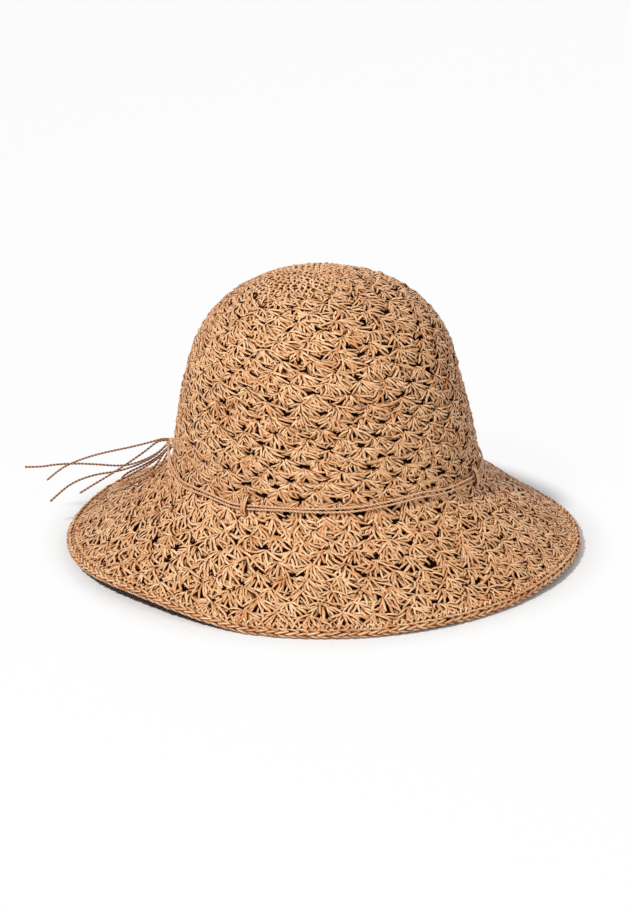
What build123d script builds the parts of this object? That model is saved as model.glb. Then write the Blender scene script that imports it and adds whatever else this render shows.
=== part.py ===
from build123d import *
from math import acos, atan2, cos, degrees, pi, radians, sin, sqrt, tan
import os

# Straw sun hat: a crocheted paper-straw crown and sloping brim, a ribbon sweatband inside,
# and a doubled cord tied round the crown in a half bow.
# Z = 0 is the surface that the rim rests on, and Z is the axis of the crown.
# Slopes are degrees below the horizontal, walking outwards from the top of the crown.

# Crocheted fabric: the outer line of the hat is a chain of tangent arcs and one straight brim.
fabric = 3.0
crown_base_radius = 96.5
crown_base_slope = 82.0
crown_wall_radius = 485.0
crown_wall_turn = 7.85
shoulder_radius = 68.4
shoulder_turn = 54.15
foot_radius = 30.0
brim_slope = 33.5
brim_width = 55.5
border_width = 5.5
edging_diameter = 4.2
edging_flat = 1.6

# Sweatband: a ribbon standing inside the crown, eased out to the fabric along its lower edge.
ribbon_thickness = 0.6
ribbon_height = 22.0
ribbon_hem = 4.0
ribbon_start = 1.0
ribbon_clearance = 0.05
thread_diameter = 0.8
thread_length = 5.0
thread_count = 60
thread_clearance = 0.05

# Tie: two cords side by side round the foot of the crown.
cord_diameter = 1.5
cord_gap = 0.9
cord_gap_at_knot = 0.3
cord_clearance = 0.5
cord_drop = 4.2
cord_steps = 48
knot_angle = 168.0
knot_rise = 1.8
knot_rise_span = 40.0
knot_lean_span = 14.0
knot_diameter = 5.6
knot_length = 7.0
knot_rounding = 1.8
knot_gap = 0.4

# Belt loops: short crocheted bridges that the two cords pass under.
loop_angles = {"belt_loop_front": -119.5, "belt_loop_right": -21.5, "belt_loop_back": 85.0}
loop_width = 5.0
loop_thickness = 1.5
loop_clearance = 0.8
loop_room = 1.6
loop_bite = 1.0
loop_rounding = 1.2

# Routes of the loose ends and of the doubled bow loop, as seen from the middle of the knot:
# out from the crown, along it anticlockwise as seen from above, and up.
routes = {
    "tie_tail_long": [
        (1.1, -1.5, 2.1), (5.4, 0.2, 2.8), (11.1, 0.4, 0.6), (18.9, 0.4, -2.1),
        (28.1, 0.3, -5.1), (42.6, -0.4, -9.4), (55.1, -0.5, -13.7), (68.6, -1.2, -20.0),
        (77.4, -2.9, -26.4), (84.3, -3.7, -33.1),
    ],
    "tie_tail_short": [
        (1.1, 1.2, 2.1), (4.8, 3.2, 2.8), (8.9, 5.2, 1.5), (13.7, 7.3, -2.7),
        (20.0, 9.6, -7.5), (28.9, 13.1, -13.7), (38.5, 17.0, -19.9), (46.8, 20.0, -24.9),
        (54.7, 22.7, -30.1),
    ],
    "tie_tail_straight": [
        (2.1, -2.2, 0.0), (5.3, -1.1, -4.2), (11.3, 0.5, -8.9), (18.4, 1.7, -12.6),
        (26.6, 2.5, -15.9), (35.4, 3.4, -17.1), (48.6, 4.9, -16.4), (62.7, 6.7, -16.3),
        (75.5, 8.3, -17.5), (84.9, 9.4, -19.6), (94.2, 10.7, -19.7),
    ],
    "tie_tail_drooping": [
        (2.1, 0.0, 0.0), (5.3, 1.9, -3.8), (9.8, 3.7, -8.1), (16.0, 5.4, -11.8),
        (24.2, 7.0, -15.6), (34.2, 9.0, -18.9), (44.6, 11.4, -20.2), (54.3, 13.6, -23.0),
        (62.7, 15.3, -27.1), (69.6, 16.5, -32.9), (75.9, 18.0, -39.2),
    ],
    "bow_loop_outer": [
        (1.2, -2.4, -2.1), (5.1, -0.4, -6.5), (10.3, 1.5, -10.9), (16.4, 3.6, -14.5),
        (22.2, 5.8, -17.2), (27.1, 7.8, -19.6), (30.0, 10.9, -21.6), (29.6, 14.5, -23.3),
        (25.9, 16.3, -23.8), (21.0, 16.2, -23.0), (14.8, 15.6, -20.3), (9.1, 14.3, -16.7),
        (4.7, 12.2, -12.1), (2.3, 9.1, -7.7), (0.9, 5.7, -4.6), (-0.5, 2.6, -2.1),
    ],
    "bow_loop_inner": [
        (1.2, -0.5, -2.1), (4.9, 1.8, -6.8), (10.0, 3.8, -11.5), (15.5, 5.7, -15.1),
        (20.3, 7.3, -17.7), (23.8, 8.8, -19.6), (26.2, 10.8, -20.7), (26.0, 13.3, -21.3),
        (23.1, 14.3, -21.1), (18.9, 14.0, -19.8), (13.9, 13.2, -17.3), (9.5, 12.1, -13.9),
        (6.2, 9.9, -9.8), (4.1, 6.6, -6.1), (2.5, 3.8, -3.9), (0.3, 1.0, -2.4),
    ],
}


# ---- Lines of the hat, worked out from the sizes above ----

def outward(slope):
    """Unit vector (radius, height) square to the outer surface where it has this slope."""
    return sin(radians(slope)), cos(radians(slope))


def along(slope):
    """Unit vector (radius, height) down the outer surface."""
    return cos(radians(slope)), -sin(radians(slope))


def shifted(point, direction, distance):
    """A (radius, height) point moved along a direction."""
    return point[0] + direction[0] * distance, point[1] + direction[1] * distance


edging_radius = edging_diameter / 2
edging_height = sqrt(edging_radius**2 - (edging_flat / 2) ** 2)
edging_seat = sqrt(edging_radius**2 - (fabric / 2) ** 2)
base_slope_sine, base_slope_cosine = outward(crown_base_slope)
brim_slope_sine, brim_slope_cosine = outward(brim_slope)

border_end_height = (
    edging_height + edging_seat * brim_slope_sine + fabric / 2 * brim_slope_cosine
)
foot_end_height = border_end_height + (brim_width + border_width) * brim_slope_sine
base_height = foot_end_height + foot_radius * (brim_slope_cosine - base_slope_cosine)
base = (crown_base_radius, base_height)
wall_centre = shifted(base, outward(crown_base_slope), -crown_wall_radius)
shoulder_low_slope = crown_base_slope - crown_wall_turn
shoulder_low = shifted(wall_centre, outward(shoulder_low_slope), crown_wall_radius)
shoulder_centre = shifted(shoulder_low, outward(shoulder_low_slope), -shoulder_radius)
tip_slope = shoulder_low_slope - shoulder_turn
tip_edge = shifted(shoulder_centre, outward(tip_slope), shoulder_radius)
tip_radius = tip_edge[0] / sin(radians(tip_slope))
tip_centre = (0, tip_edge[1] - tip_radius * cos(radians(tip_slope)))
foot_centre = shifted(base, outward(crown_base_slope), foot_radius)
foot_end = shifted(foot_centre, outward(brim_slope), -foot_radius)
brim_end = shifted(foot_end, along(brim_slope), brim_width)
border_end = shifted(brim_end, along(brim_slope), border_width)
edging_centre = shifted(
    shifted(border_end, outward(brim_slope), -fabric / 2), along(brim_slope), edging_seat
)
hat_height = tip_centre[1] + tip_radius
rim_radius = edging_centre[0] + edging_radius
cord_height = base_height - cord_drop


def outer_radius(height):
    """Radius of the outer surface at a height on the crown's wall or on the foot below it."""
    if height >= base_height:
        cosine = base_slope_cosine + (height - base_height) / crown_wall_radius
        return crown_base_radius - crown_wall_radius * (base_slope_sine - sqrt(1 - cosine**2))
    cosine = base_slope_cosine + (base_height - height) / foot_radius
    return crown_base_radius + foot_radius * (base_slope_sine - sqrt(1 - cosine**2))


def inner_radius(height):
    """Radius of the inside of the crown's wall at a height."""
    radius = crown_wall_radius - fabric
    cosine = (height - wall_centre[1]) / radius
    return wall_centre[0] + radius * sqrt(1 - cosine**2)


# ---- Crocheted fabric ----

def normal_angle(slope):
    """Direction, in the section plane, of the outer surface's normal."""
    return 90 - slope


def crown_tip():
    """Round top of the crown, worked in single crochet."""
    with BuildPart() as tip:
        with BuildSketch(Plane.XZ):
            with BuildLine():
                outside = CenterArc(tip_centre, tip_radius, normal_angle(tip_slope), tip_slope)
                inside = CenterArc(
                    tip_centre, tip_radius - fabric, normal_angle(tip_slope), tip_slope
                )
                Line(outside @ 0, inside @ 0)
                Line(outside @ 1, inside @ 1)
            make_face()
        revolve(axis=Axis.Z)
    return tip


def crown_side():
    """Shoulder and wall of the crown, worked in shell stitch."""
    wall_start = normal_angle(crown_base_slope)
    shoulder_start = normal_angle(shoulder_low_slope)
    with BuildPart() as side:
        with BuildSketch(Plane.XZ):
            with BuildLine():
                wall_out = CenterArc(wall_centre, crown_wall_radius, wall_start, crown_wall_turn)
                wall_in = CenterArc(
                    wall_centre, crown_wall_radius - fabric, wall_start, crown_wall_turn
                )
                shoulder_out = CenterArc(
                    shoulder_centre, shoulder_radius, shoulder_start, shoulder_turn
                )
                shoulder_in = CenterArc(
                    shoulder_centre, shoulder_radius - fabric, shoulder_start, shoulder_turn
                )
                Line(wall_out @ 0, wall_in @ 0)
                Line(shoulder_out @ 1, shoulder_in @ 1)
            make_face()
        revolve(axis=Axis.Z)
    return side


def brim():
    """Foot of the crown and the sloping brim, worked in larger shells."""
    foot_start = normal_angle(crown_base_slope) + 180
    foot_turn = crown_base_slope - brim_slope
    with BuildPart() as sheet:
        with BuildSketch(Plane.XZ):
            with BuildLine():
                foot_out = CenterArc(foot_centre, foot_radius, foot_start, foot_turn)
                foot_in = CenterArc(foot_centre, foot_radius + fabric, foot_start, foot_turn)
                Line(foot_out @ 0, foot_in @ 0)
                slope_out = Line(foot_out @ 1, brim_end)
                slope_in = Line(foot_in @ 1, shifted(brim_end, outward(brim_slope), -fabric))
                Line(slope_out @ 1, slope_in @ 1)
            make_face()
        revolve(axis=Axis.Z)
    return sheet


def brim_border():
    """Single-crochet rounds between the shells and the edging."""
    inwards = outward(brim_slope)
    with BuildPart() as border:
        with BuildSketch(Plane.XZ):
            with BuildLine():
                Polyline(
                    brim_end,
                    border_end,
                    shifted(border_end, inwards, -fabric),
                    shifted(brim_end, inwards, -fabric),
                    close=True,
                )
            make_face()
        revolve(axis=Axis.Z)
    return border


def brim_edging():
    """Chain of slip stitches round the rim, a little flattened where the hat rests on it."""
    half_seat = degrees(acos(edging_seat / edging_radius))
    start = 180 - brim_slope + half_seat
    with BuildPart() as edging:
        with BuildSketch(Plane.XZ):
            with BuildLine():
                rope = CenterArc(edging_centre, edging_radius, start, 360 - 2 * half_seat)
                Line(rope @ 1, rope @ 0)
            make_face()
        revolve(axis=Axis.Z)
        split(bisect_by=Plane.XY, keep=Keep.TOP)
    return edging


# ---- Sweatband ----

ribbon_top = base_height + ribbon_height
ribbon_bottom = base_height + ribbon_start
ribbon_outer_radius = inner_radius(ribbon_top) - ribbon_clearance
hem_outer_radius = inner_radius(ribbon_bottom) - ribbon_clearance
head_opening_radius = ribbon_outer_radius - ribbon_thickness
hem_slope = degrees(atan2(ribbon_hem, hem_outer_radius - ribbon_outer_radius))


def sweatband():
    """Ribbon that bears on the head."""
    hem_top = ribbon_bottom + ribbon_hem
    with BuildPart() as band:
        with BuildSketch(Plane.XZ):
            with BuildLine():
                Polyline(
                    (hem_outer_radius, ribbon_bottom),
                    (ribbon_outer_radius, hem_top),
                    (ribbon_outer_radius, ribbon_top),
                    (ribbon_outer_radius - ribbon_thickness, ribbon_top),
                    (ribbon_outer_radius - ribbon_thickness, hem_top),
                    (hem_outer_radius - ribbon_thickness, ribbon_bottom),
                    close=True,
                )
            make_face()
        revolve(axis=Axis.Z)
    return band


def sweatband_stitches():
    """Running stitches along the middle of the ribbon's hem."""
    height = ribbon_bottom + ribbon_hem / 2
    hem_middle = (hem_outer_radius + ribbon_outer_radius) / 2 - ribbon_thickness
    standoff = (thread_diameter / 2 + thread_clearance) / sin(radians(hem_slope))
    chord_rise = thread_length**2 / (8 * hem_middle)
    with BuildPart(Plane.XY.offset(height)) as stitches:
        with PolarLocations(hem_middle - standoff - chord_rise, thread_count):
            Cylinder(thread_diameter / 2, thread_length, rotation=(90, 0, 0))
    return stitches


# ---- Tie ----

def route_radii(points):
    """Fillet radius at each inner point: as large as the runs beside it allow."""
    radii = []
    for before, here, after in zip(points, points[1:], points[2:]):
        turn = (here - before).get_angle(after - here)
        shorter = min((here - before).length, (after - here).length)
        radii.append(0.45 * shorter / tan(radians(turn / 2)))
    return radii


def cord(points):
    """A round cord along straight runs joined by tangent arcs."""
    radii = route_radii(points)
    with BuildPart() as tube:
        with BuildLine() as route:
            FilletPolyline(*points, radius=radii)
        with BuildSketch(Plane(origin=route.line @ 0, z_dir=route.line % 0)):
            Circle(cord_diameter / 2)
        sweep()
    return tube, radii, sum(edge.length for edge in route.edges())


def smooth_step(share):
    """0 up to 0, 1 from 1 on, with an even bend between."""
    share = min(max(share, 0), 1)
    return share * share * (3 - 2 * share)


knot_height = cord_height + knot_rise
knot_centre_radius = outer_radius(knot_height) + cord_clearance + knot_diameter / 2
knot_out = Vector(cos(radians(knot_angle)), sin(radians(knot_angle)), 0)
knot_frame = Plane(
    origin=knot_out * knot_centre_radius + Vector(0, 0, knot_height), x_dir=knot_out, z_dir=(0, 0, 1)
)


def band_route(side):
    """Points round the crown from one end of the knot to the other. side is 1 above, -1 below."""
    end_angle = degrees((knot_length / 2 + knot_gap) / knot_centre_radius)
    points = []
    for step in range(cord_steps + 1):
        turn = end_angle + (360 - 2 * end_angle) * step / cord_steps
        away = min(turn, 360 - turn)
        rise = knot_rise * (1 - smooth_step((away - end_angle) / knot_rise_span))
        lean = 1 - smooth_step((away - end_angle) / knot_lean_span)
        spacing = cord_diameter + cord_gap + (cord_gap_at_knot - cord_gap) * lean
        height = cord_height + rise + side * spacing / 2
        snug = outer_radius(height) + cord_clearance + cord_diameter / 2
        radius = snug + (knot_centre_radius - snug) * lean
        if away > end_angle:
            radius /= cos(pi / cord_steps)
        angle = radians(knot_angle + turn)
        points.append(Vector(radius * cos(angle), radius * sin(angle), height))
    return points


def tie_knot():
    """The knot, a short barrel whose axis lies along the cords that enter it."""
    rounding = min(knot_rounding, 0.45 * knot_diameter, 0.45 * knot_length)
    with BuildPart(Plane(origin=knot_frame.origin, z_dir=knot_frame.y_dir)) as knot:
        Cylinder(knot_diameter / 2, knot_length)
        fillet(knot.edges().filter_by(GeomType.CIRCLE), rounding)
    return knot


def tie_route(points):
    """A loose cord's points, moved from the knot's own frame to the hat's."""
    return [knot_frame.from_local_coords(point) for point in points]


def belt_loop(angle, covered):
    """Bridge over both cords, trimmed where its two feet meet the fabric."""
    half_spacing = (cord_diameter + cord_gap) / 2
    low = cord_height - half_spacing
    high = cord_height + half_spacing
    reach = cord_diameter / 2 + loop_room
    inside = outer_radius(low) + cord_clearance + cord_diameter + loop_clearance
    outside = inside + loop_thickness
    top = high + reach + loop_thickness
    bottom = low - reach - loop_thickness
    heading = radians(angle)
    radial = Plane(
        origin=(0, 0, 0),
        x_dir=(cos(heading), sin(heading), 0),
        z_dir=(sin(heading), -cos(heading), 0),
    )
    with BuildPart() as loop:
        with BuildSketch(radial):
            with BuildLine():
                Polyline(
                    (outer_radius(top) - loop_bite, top),
                    (outside, top),
                    (outside, bottom),
                    (outer_radius(bottom) - loop_bite, bottom),
                    (outer_radius(low - reach) - loop_bite, low - reach),
                    (inside, low - reach),
                    (inside, high + reach),
                    (outer_radius(high + reach) - loop_bite, high + reach),
                    close=True,
                )
            face = make_face()
            fillet(face.vertices().sort_by_distance((outside, top))[0], loop_rounding)
            fillet(face.vertices().sort_by_distance((outside, bottom))[0], loop_rounding)
        extrude(amount=loop_width / 2, both=True)
        for piece in covered:
            add(piece.part, mode=Mode.SUBTRACT)
    return loop


# ---- Every piece, written as one STEP file each ----

def write(piece, label):
    piece.part.label = label
    export_step(piece.part, f"parts/{label}.step")


os.makedirs("parts", exist_ok=True)
crown_side_piece = crown_side()
brim_piece = brim()
write(crown_tip(), "crown_tip")
write(crown_side_piece, "crown_side")
write(brim_piece, "brim")
write(brim_border(), "brim_border")
write(brim_edging(), "brim_edging")
write(sweatband(), "sweatband")
write(sweatband_stitches(), "sweatband_stitches")
for loop_name, loop_angle in loop_angles.items():
    write(belt_loop(loop_angle, [crown_side_piece, brim_piece]), loop_name)
write(tie_knot(), "tie_knot")
cord_routes = {"band_cord_upper": band_route(1), "band_cord_lower": band_route(-1)}
for route_name, route_points in routes.items():
    cord_routes[route_name] = tie_route(route_points)
for cord_name, cord_points in cord_routes.items():
    cord_piece, cord_radii, cord_length = cord(cord_points)
    write(cord_piece, cord_name)
    section = pi * cord_diameter**2 / 4
    fullness = cord_piece.part.volume / (section * cord_length)
    print(cord_name, "length", round(cord_length, 1), "volume over section", round(fullness, 4))
    print("  radii", [round(radius, 1) for radius in cord_radii])

print("hat height", round(hat_height, 2), "rim radius", round(rim_radius, 2))
print("crown base height", round(base_height, 2), "cord height", round(cord_height, 2))
print("edging circle radius", round(edging_centre[0], 3))
print("head opening radius", round(head_opening_radius, 3))
print("ribbon from", round(ribbon_bottom, 2), "to", round(ribbon_top, 2))
print("knot centre", knot_frame.origin)
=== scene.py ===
from math import cos, pi, radians, sin, sqrt

import bpy
import numpy as np
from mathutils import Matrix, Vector


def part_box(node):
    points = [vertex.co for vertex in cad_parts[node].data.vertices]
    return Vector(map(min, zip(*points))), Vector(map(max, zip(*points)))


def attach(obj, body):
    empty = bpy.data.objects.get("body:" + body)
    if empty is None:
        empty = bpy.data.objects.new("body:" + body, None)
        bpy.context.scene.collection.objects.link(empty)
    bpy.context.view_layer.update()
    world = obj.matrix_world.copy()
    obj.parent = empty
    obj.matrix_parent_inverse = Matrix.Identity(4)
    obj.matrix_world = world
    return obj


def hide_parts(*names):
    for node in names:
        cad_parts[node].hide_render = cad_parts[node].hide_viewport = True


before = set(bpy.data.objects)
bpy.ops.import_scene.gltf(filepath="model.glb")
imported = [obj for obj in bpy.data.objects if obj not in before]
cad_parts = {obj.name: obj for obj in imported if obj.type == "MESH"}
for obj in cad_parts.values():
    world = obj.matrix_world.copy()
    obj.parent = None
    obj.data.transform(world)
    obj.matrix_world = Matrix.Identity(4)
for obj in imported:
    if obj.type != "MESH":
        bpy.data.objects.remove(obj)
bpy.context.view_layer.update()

# Straw sun hat, modelled strand by strand. Lengths are in metres. Slopes are in degrees below the
# horizontal, walking outwards from the top of the crown. The outer line of the hat is the same
# chain of arcs as the solids', so every strand is laid at a distance along that line, an angle
# round the crown, and a height off the outer surface.

randomness = np.random.default_rng(7)

# Hat line
fabric = 0.003
crown_base_radius = 0.0965
crown_base_slope = 82.0
crown_wall_radius = 0.485
crown_wall_turn = 7.85
shoulder_radius = 0.0684
shoulder_turn = 54.15
foot_radius = 0.030
brim_slope = 33.5
brim_width = 0.0555
border_width = 0.0055
edging_diameter = 0.0042
edging_flat = 0.0016

# Crown's round top, in single crochet. Its middle sits a little to the left of the crown's.
top_round_radius = 0.035
top_round_shift = np.array([-0.013, 0.001])
top_round_pitch = 0.0036
top_stitch_width = 0.0042
top_strand_width = 0.0022
top_inside_width = 0.0021
top_lift = 0.0002
shift_fade_start = 0.030
shift_fade_span = 0.090
hole_radius = 0.0012

# Shell stitch. The crown's rows get as many shells as their radius allows, as (least radius,
# shells), and the brim's are (distance, shells, angle of one apex in degrees). A strand's crest
# and lens are humps, as (start, span, power).
first_row_pitch = 0.0058
row_pitch_step = 0.0002
crown_row_pitch = 0.0067
crown_shells = [(0.0865, 27), (0.074, 24), (0.062, 20), (0.050, 16), (0, 13)]
brim_lattice = [
    (0.1788, 38, -99.1), (0.1860, 38, -102.5), (0.1930, 38, -96.4), (0.2005, 38, -99.8),
    (0.2090, 38, -93.9), (0.2185, 47, -93.6), (0.2280, 47, -96.1), (0.2366, 47, -98.6),
    (0.2452, 47, -101.1),
]
first_apex = -99.1
row_shift = 0.375
wing_drop = 0.40
hang = 1.20
wing_flare = 0.25
near_end = 0.70
far_start = 0.36
far_end = 1.06
far_drop = -0.0003
bow_power = 0.85
place_scatter = 0.018
size_scatter = 0.04
across_scatter = 0.00050
down_scatter = 0.00045
start_scatter = 0.03
end_scatter = 0.05
lie_scatter = 0.00022
width_scatter = 0.12
strand_sway = 0.00066
strand_turn = 0.0024
strand_thickness = 0.76
strand_crest = (0.08, 0.82, 0.75)
strand_lens = (0.12, 0.72, 0.70)
filling_strands = 4
crown_filling_width = 0.0023
brim_filling_width = 0.0031
filling_depth = -0.0023
filling_lengths = (0.0050, 0.0075)
filling_across = 0.13
filling_down = (0.15, 0.85)
filling_turn = 0.45
crown_strands = (7, 10)
crown_strand_width = 0.00196
crown_hub = (0.0015, 0.0006)
brim_strands = (6, 9)
brim_strand_width = 0.00218
brim_hub = (0.0007, -0.0003)
inner_strands = (2, 4)
inner_strand_width = 0.0034
inner_depth = 0.0009
ribbon_reach = 0.030
sunk = 0.0024
rise = 0.0018
crown_split = 0.118
brim_split = 0.2155
backing_depth = 0.0027
inner_backing_depth = 0.0029
crown_backing_cell = 0.0030
brim_backing_cell = 0.0035
inner_backing_cell = 0.0055

# Single crochet: a stitch's two legs, as (start across, end across, start down, end down) in
# stitches, and the border's two faces, as (pitch, stitch width, strand width).
stitch_legs = [(-0.55, 0.05, -0.12, 0.95), (0.50, 0.02, 0.02, 1.12)]
border_outside = (0.0034, 0.0040, 0.0021)
border_inside = (0.0031, 0.0042, 0.0022)
border_lift = 0.0003
least_stitches = 5
round_offset = 0.37
stitch_scatter = 0.00035
stitch_lie_scatter = 0.00018

# Tie
cord_diameter = 0.0015
cord_gap = 0.0009
cord_gap_at_knot = 0.0003
cord_clearance = 0.0005
cord_drop = 0.0042
cord_lay_length = 0.0046
cord_fray_length = 0.0012
ply_offset = 0.21
ply_width = 0.58
ply_thickness = 0.92
tail_fray = 0.25
knot_angle = 168.0
knot_rise = 0.0018
knot_rise_span = 40.0
knot_lean_span = 14.0
knot_diameter = 0.0056
knot_length = 0.007
knot_gap = 0.0004

# Belt loops
loop_angles = {"belt_loop_front": -119.5, "belt_loop_right": -21.5, "belt_loop_back": 85.0}
loop_top = 0.0606
loop_bottom = 0.0498
loop_standoff = 0.0042
loop_strand_width = 0.0016
loop_strand_spacing = 0.0013
loop_sway = 0.004
loop_sink = 0.0006
loop_curl_width = 0.0017
loop_curl_squash = 0.62
loop_curl_lift = 0.0009
loop_curl_rise = 0.0007
loop_curls = [(loop_top - 0.0002, 0.0019), (loop_bottom + 0.0004, 0.0016)]

# Sweatband
head_opening_radius = 0.089188
ribbon_thickness = 0.0006
ribbon_hem = 0.004
ribbon_columns = 720

# The real hat's unevenness. The rim's lifts, in metres, and the shares by which it is drawn in
# are (amount, angle in degrees, degrees to each side).
rim_lifts = [(0.0015, 150, 34), (0.0037, 210, 50), (0.0030, 228, 26), (0.0020, 335, 30)]
rim_draws = [
    (0.014, 0, 100), (0.030, 42, 48), (0.012, -45, 40), (0.010, 163, 22), (0.020, 232, 28),
]
uneven_start = 0.105
uneven_span = 0.057
slow_ripple = 0.0005
fast_ripple = 0.0004
crown_lean = 0.0018
lean_start = 0.060
lean_span = 0.050
shoulder_fullness = 0.0009
fullness_reach = 0.045
fullness_start = 0.120
fullness_span = 0.030


# ---- Line of the hat ----

def outward(slope):
    """Unit vector (radius, height) square to the outer surface where it has this slope."""
    return np.array([sin(radians(slope)), cos(radians(slope))])


brim_tilt = radians(brim_slope)
edging_radius = edging_diameter / 2
edging_height = sqrt(edging_radius**2 - (edging_flat / 2) ** 2)
edging_seat = sqrt(edging_radius**2 - (fabric / 2) ** 2)
border_end_height = edging_height + edging_seat * sin(brim_tilt) + fabric / 2 * cos(brim_tilt)
foot_end_height = border_end_height + (brim_width + border_width) * sin(brim_tilt)
base_height = foot_end_height + foot_radius * (cos(brim_tilt) - cos(radians(crown_base_slope)))
base = np.array([crown_base_radius, base_height])
wall_centre = base - crown_wall_radius * outward(crown_base_slope)
shoulder_low_slope = crown_base_slope - crown_wall_turn
shoulder_low = wall_centre + crown_wall_radius * outward(shoulder_low_slope)
shoulder_centre = shoulder_low - shoulder_radius * outward(shoulder_low_slope)
tip_slope = shoulder_low_slope - shoulder_turn
tip_edge = shoulder_centre + shoulder_radius * outward(tip_slope)
tip_radius = tip_edge[0] / sin(radians(tip_slope))
tip_centre = np.array([0, tip_edge[1] - tip_radius * cos(radians(tip_slope))])
foot_centre = base + foot_radius * outward(crown_base_slope)
foot_end = foot_centre - foot_radius * outward(brim_slope)

shoulder_start = tip_radius * radians(tip_slope)
wall_start = shoulder_start + shoulder_radius * radians(shoulder_turn)
foot_start = wall_start + crown_wall_radius * radians(crown_wall_turn)
slope_start = foot_start + foot_radius * radians(crown_base_slope - brim_slope)
border_start = slope_start + brim_width
border_end = border_start + border_width
edging_distance = border_end + edging_seat
cord_height = base_height - cord_drop

# Arcs of the hat's line, as (centre, radius): the foot's is hollow.
arcs = [
    (tip_centre, tip_radius), (shoulder_centre, shoulder_radius),
    (wall_centre, crown_wall_radius), (foot_centre, -foot_radius),
]


def hat_line(distance):
    """Radius, height and slope in radians of the outer surface, at distances from its middle."""
    s = np.asarray(distance, float)
    slopes = [
        s / tip_radius,
        radians(tip_slope) + (s - shoulder_start) / shoulder_radius,
        radians(shoulder_low_slope) + (s - wall_start) / crown_wall_radius,
        radians(crown_base_slope) - (s - foot_start) / foot_radius,
    ]
    where = [s < shoulder_start, s < wall_start, s < foot_start, s < slope_start]
    radii = [centre[0] + size * np.sin(slope) for (centre, size), slope in zip(arcs, slopes)]
    levels = [centre[1] + size * np.cos(slope) for (centre, size), slope in zip(arcs, slopes)]
    radius = np.select(where, radii, foot_end[0] + (s - slope_start) * cos(brim_tilt))
    height = np.select(where, levels, foot_end[1] - (s - slope_start) * sin(brim_tilt))
    return radius, height, np.select(where, slopes, brim_tilt)


def stacked(*parts):
    """Arrays of numbers as one array whose last axis runs over them."""
    return np.stack(np.broadcast_arrays(*parts), axis=-1)


def smooth_step(share):
    """0 up to 0, 1 from 1 on, with an even bend between."""
    share = np.clip(share, 0, 1)
    return share * share * (3 - 2 * share)


def hump(t, start=0.0, span=1.0, power=1.0):
    """Part of a half wave, read at t from 0 to 1, which starts at a share of it."""
    return np.sin(pi * (start + span * t)) ** power


def swell(angle, centre, half_width):
    """1 at an angle in degrees, falling evenly to 0 at half_width to each side of it."""
    away = np.abs((angle - centre + 180) % 360 - 180) / half_width
    return np.cos(np.clip(away, 0, 1) * pi / 2) ** 2


def swells(angle, amounts):
    """Sum of several swells, each given as (amount, centre, half_width)."""
    return sum(amount * swell(angle, centre, half_width) for amount, centre, half_width in amounts)


def shaped(points):
    """Points of an even hat, moved to the real one's lean, full right shoulder and uneven rim."""
    x, y, z = points[..., 0], points[..., 1], points[..., 2]
    angle = np.degrees(np.arctan2(y, x))
    from_axis = np.hypot(x, y)
    out = np.clip((from_axis - uneven_start) / uneven_span, 0, 1.2) ** 1.3
    drawn_in = 1 - swells(angle, rim_draws) * np.minimum(out, 1)
    ripple = slow_ripple * np.sin(np.radians(angle * 5 + 40))
    ripple += fast_ripple * np.sin(np.radians(angle * 9))
    lean = -crown_lean * smooth_step((z - lean_start) / lean_span)
    full = shoulder_fullness * swell(angle, 0, 90) * smooth_step(from_axis / fullness_reach)
    full *= smooth_step((z - fullness_start) / fullness_span)
    raised = z + full + np.maximum(swells(angle, rim_lifts) + ripple, 0) * out
    return stacked((x + lean) * drawn_in, y * drawn_in, raised)


def round_axis(radius, angle, level):
    """Points at a radius and an angle round the hat's axis, and at a height."""
    return stacked(radius * np.cos(angle), radius * np.sin(angle), level)


def on_hat(distance, angle, height):
    """Points at a distance down the hat's line, an angle round it and a height off it."""
    radius, level, slope = hat_line(distance)
    radius = radius + height * np.sin(slope)
    level = level + height * np.cos(slope)
    return shaped(round_axis(radius, angle, level))


def normal_on_hat(distance, angle):
    """Outward normals of the hat's outer surface."""
    slope = hat_line(distance)[2]
    return round_axis(np.sin(slope), angle, np.cos(slope))


def off_centre(distance, angle):
    """Distances and angles of a pattern whose middle is shifted near the top of the crown."""
    share = 1 - smooth_step((distance - shift_fade_start) / shift_fade_span)
    x = distance * np.cos(angle) + top_round_shift[0] * share
    y = distance * np.sin(angle) + top_round_shift[1] * share
    return np.hypot(x, y), np.arctan2(y, x)


# ---- Objects and meshes ----

def placed(name, data):
    """A new object in the scene."""
    thing = bpy.data.objects.new(name, data)
    bpy.context.scene.collection.objects.link(thing)
    return thing


def aimed(thing, place, target):
    """Puts a camera or a lamp at a place, looking at a target."""
    thing.location = place
    thing.rotation_mode = "QUATERNION"
    thing.rotation_quaternion = (target - place).to_track_quat("-Z", "Y")


def mesh_object(name, points, faces, strand):
    """An object from an array of points and an array of quads, with its strand coordinates."""
    mesh = bpy.data.meshes.new(name)
    mesh.vertices.add(len(points))
    mesh.vertices.foreach_set("co", np.asarray(points, np.float32).ravel())
    mesh.loops.add(faces.size)
    mesh.loops.foreach_set("vertex_index", faces.astype(np.int32).ravel())
    mesh.polygons.add(len(faces))
    mesh.polygons.foreach_set("loop_start", np.arange(0, faces.size, 4, dtype=np.int32))
    mesh.update(calc_edges=True)
    mesh.shade_smooth()
    layer = mesh.attributes.new("strand", "FLOAT_VECTOR", "POINT")
    layer.data.foreach_set("vector", np.asarray(strand, np.float32).ravel())
    mesh.validate()
    return placed(name, mesh)


def ring_quads(start, rings, columns):
    """Quads between neighbouring rings of points, as an array that ends in four corners."""
    row = start + np.arange(rings - 1)[:, None] * columns
    here = np.arange(columns)
    after = (here + 1) % columns
    return stacked(row + here, row + columns + here, row + columns + after, row + after)


# Section of a strand that shows its outside only.
flat_section = np.radians([0, 60, 120, 180])

# Least values, so that nothing divides by 0 in the middle of the top.
tiny = 1e-12
least_distance = 0.0002
least_radius = 0.002


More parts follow.
